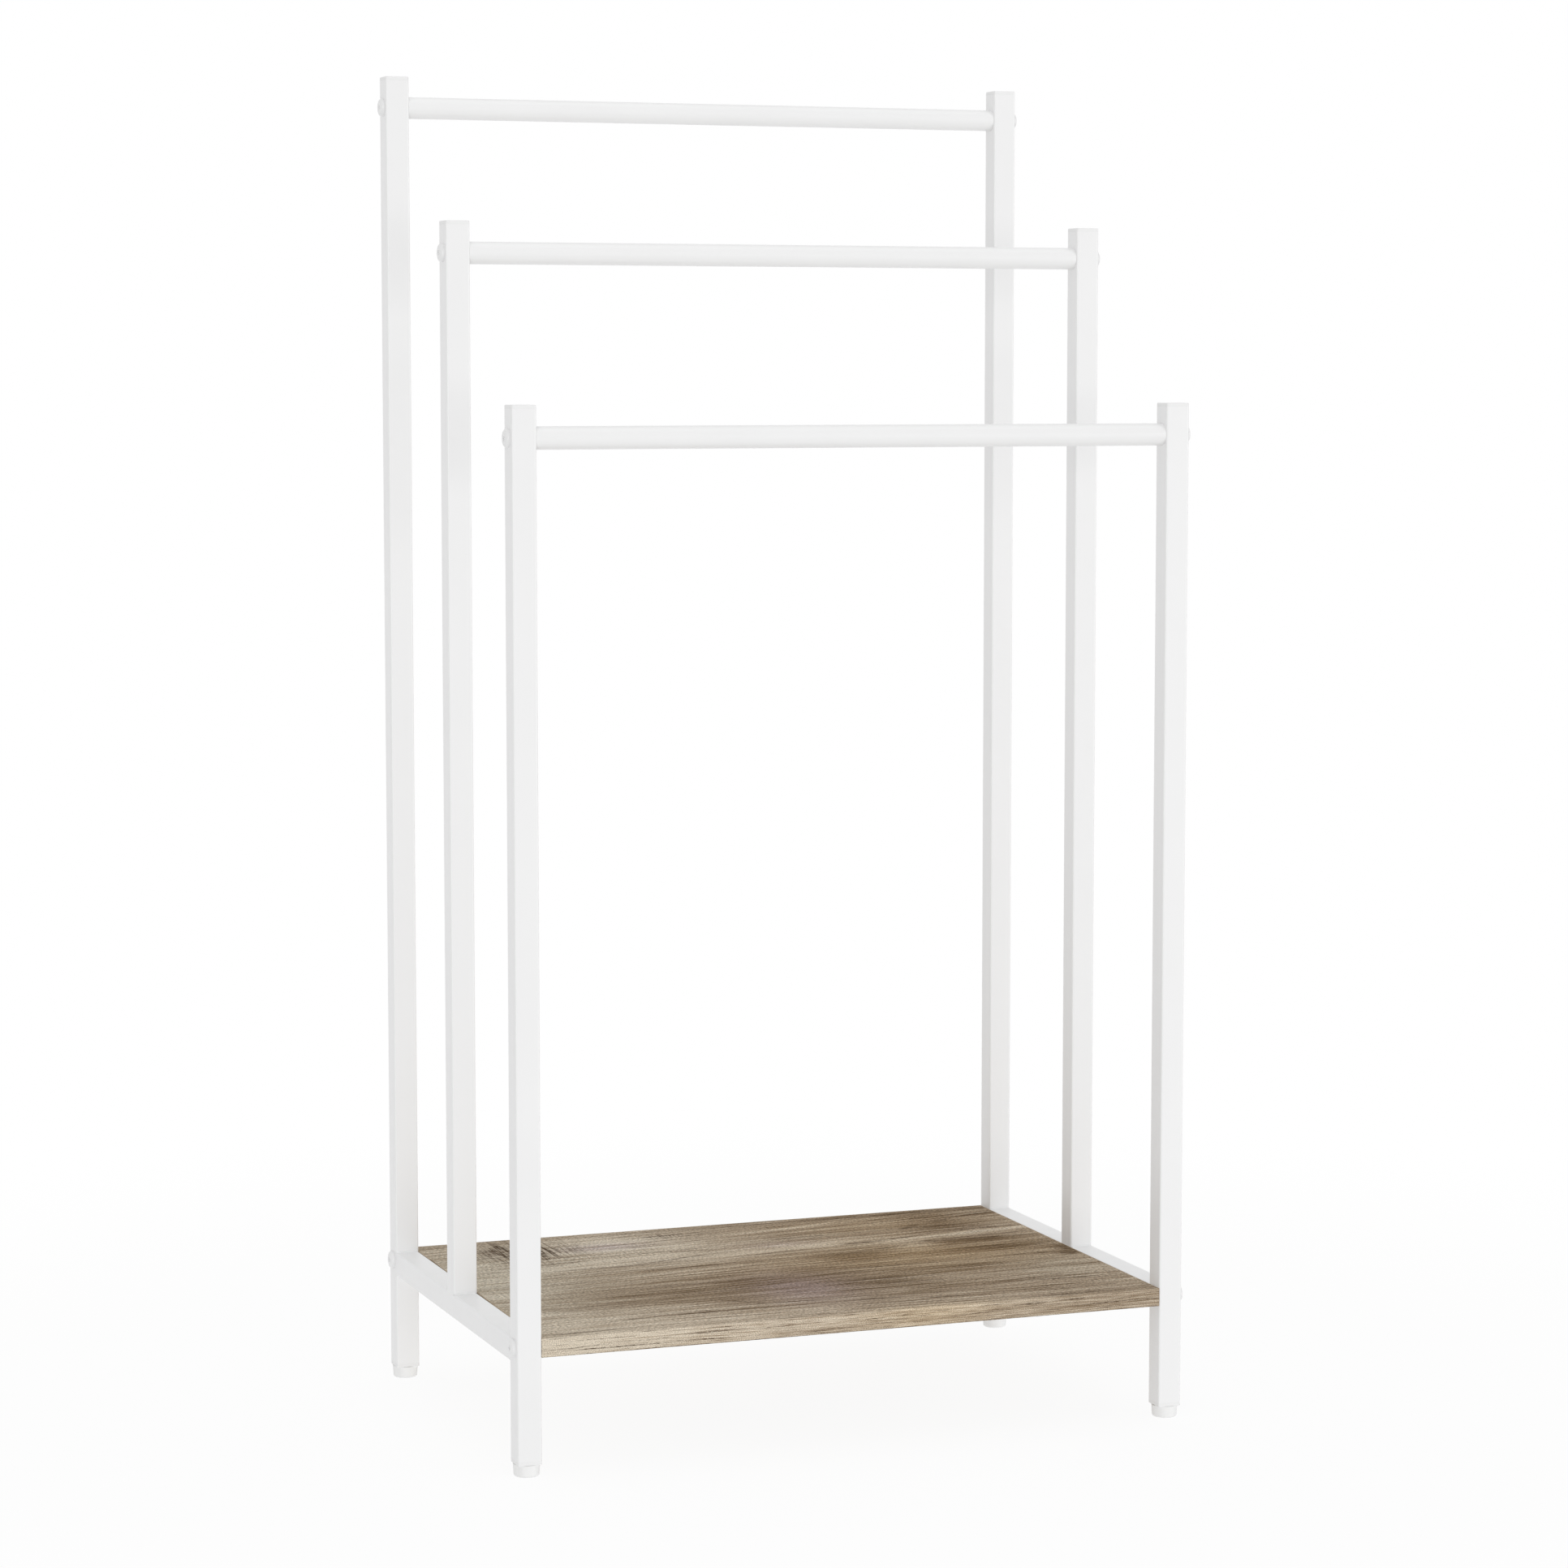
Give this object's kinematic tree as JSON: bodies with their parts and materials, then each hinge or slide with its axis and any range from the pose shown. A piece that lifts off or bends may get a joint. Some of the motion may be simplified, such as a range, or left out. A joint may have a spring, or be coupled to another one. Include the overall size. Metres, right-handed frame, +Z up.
{
  "type": "towel rack with shelf",
  "caption": "Free-standing towel rack: square-tube side frames, round towel bars stepping up from front to back, a laminated shelf near the floor and screw-in levelling feet.",
  "frame": {"origin": "on the floor, midway between the four feet", "axes": "+X to the right of someone in front of the rack, +Y to its back, +Z up"},
  "size_m": [0.5788, 0.3774, 1.107],
  "materials": {
    "frame_coating": "white powder coat, satin",
    "bolt_coating": "white paint, satin",
    "cap_plastic": "moulded white plastic",
    "foot_plastic": "moulded off-white plastic",
    "zinc": "zinc plated",
    "board_laminate": "greige weathered-wood laminate, matt",
    "edge_band": "greige weathered-wood edge band, matt"
  },
  "bodies": {
    "rack": {"left_front_post": "frame_coating", "left_front_post_cap": "cap_plastic", "left_front_bar_bolt": "bolt_coating", "left_front_bar_plug": "zinc", "left_front_board_bolt": "bolt_coating", "left_front_board_insert": "zinc", "left_front_foot_insert": "cap_plastic", "left_middle_post": "frame_coating", "left_middle_post_cap": "cap_plastic", "left_middle_bar_bolt": "bolt_coating", "left_middle_bar_plug": "zinc", "left_back_post": "frame_coating", "left_back_post_cap": "cap_plastic", "left_back_bar_bolt": "bolt_coating", "left_back_bar_plug": "zinc", "left_back_board_bolt": "bolt_coating", "left_back_board_insert": "zinc", "left_back_foot_insert": "cap_plastic", "left_side_rail": "frame_coating", "left_edge_band": "edge_band", "right_front_post": "frame_coating", "right_front_post_cap": "cap_plastic", "right_front_bar_bolt": "bolt_coating", "right_front_bar_plug": "zinc", "right_front_board_bolt": "bolt_coating", "right_front_board_insert": "zinc", "right_front_foot_insert": "cap_plastic", "right_middle_post": "frame_coating", "right_middle_post_cap": "cap_plastic", "right_middle_bar_bolt": "bolt_coating", "right_middle_bar_plug": "zinc", "right_back_post": "frame_coating", "right_back_post_cap": "cap_plastic", "right_back_bar_bolt": "bolt_coating", "right_back_bar_plug": "zinc", "right_back_board_bolt": "bolt_coating", "right_back_board_insert": "zinc", "right_back_foot_insert": "cap_plastic", "right_side_rail": "frame_coating", "right_edge_band": "edge_band", "front_towel_bar": "frame_coating", "middle_towel_bar": "frame_coating", "back_towel_bar": "frame_coating", "shelf_board": "board_laminate", "front_edge_band": "edge_band", "back_edge_band": "edge_band"},
    "left_front_stud": {"left_front_foot_stud": "zinc"},
    "left_front_pad": {"left_front_foot_pad": "foot_plastic"},
    "left_back_stud": {"left_back_foot_stud": "zinc"},
    "left_back_pad": {"left_back_foot_pad": "foot_plastic"},
    "right_front_stud": {"right_front_foot_stud": "zinc"},
    "right_front_pad": {"right_front_foot_pad": "foot_plastic"},
    "right_back_stud": {"right_back_foot_stud": "zinc"},
    "right_back_pad": {"right_back_foot_pad": "foot_plastic"}
  },
  "joints": [
    {"name": "left_front_foot_travel", "type": "slide", "parent": "rack", "child": "left_front_stud", "axis": [0, 0, -1], "range_m": [0, 0.008]},
    {"name": "left_front_foot_turn", "type": "hinge", "parent": "left_front_stud", "child": "left_front_pad", "pos_m": [-0.276, -0.178, 0.005], "axis": [0, 0, -1], "range_deg": [0, 2880]},
    {"name": "left_back_foot_travel", "type": "slide", "parent": "rack", "child": "left_back_stud", "axis": [0, 0, -1], "range_m": [0, 0.008]},
    {"name": "left_back_foot_turn", "type": "hinge", "parent": "left_back_stud", "child": "left_back_pad", "pos_m": [-0.276, 0.178, 0.005], "axis": [0, 0, -1], "range_deg": [0, 2880]},
    {"name": "right_front_foot_travel", "type": "slide", "parent": "rack", "child": "right_front_stud", "axis": [0, 0, -1], "range_m": [0, 0.008]},
    {"name": "right_front_foot_turn", "type": "hinge", "parent": "right_front_stud", "child": "right_front_pad", "pos_m": [0.276, -0.178, 0.005], "axis": [0, 0, -1], "range_deg": [0, 2880]},
    {"name": "right_back_foot_travel", "type": "slide", "parent": "rack", "child": "right_back_stud", "axis": [0, 0, -1], "range_m": [0, 0.008]},
    {"name": "right_back_foot_turn", "type": "hinge", "parent": "right_back_stud", "child": "right_back_pad", "pos_m": [0.276, 0.178, 0.005], "axis": [0, 0, -1], "range_deg": [0, 2880]}
  ],
  "couplings": [
    {"joint": "left_front_foot_travel", "follows": "left_front_foot_turn", "m_per_rad": 0.00015915},
    {"joint": "left_back_foot_travel", "follows": "left_back_foot_turn", "m_per_rad": 0.00015915},
    {"joint": "right_front_foot_travel", "follows": "right_front_foot_turn", "m_per_rad": 0.00015915},
    {"joint": "right_back_foot_travel", "follows": "right_back_foot_turn", "m_per_rad": 0.00015915}
  ]
}
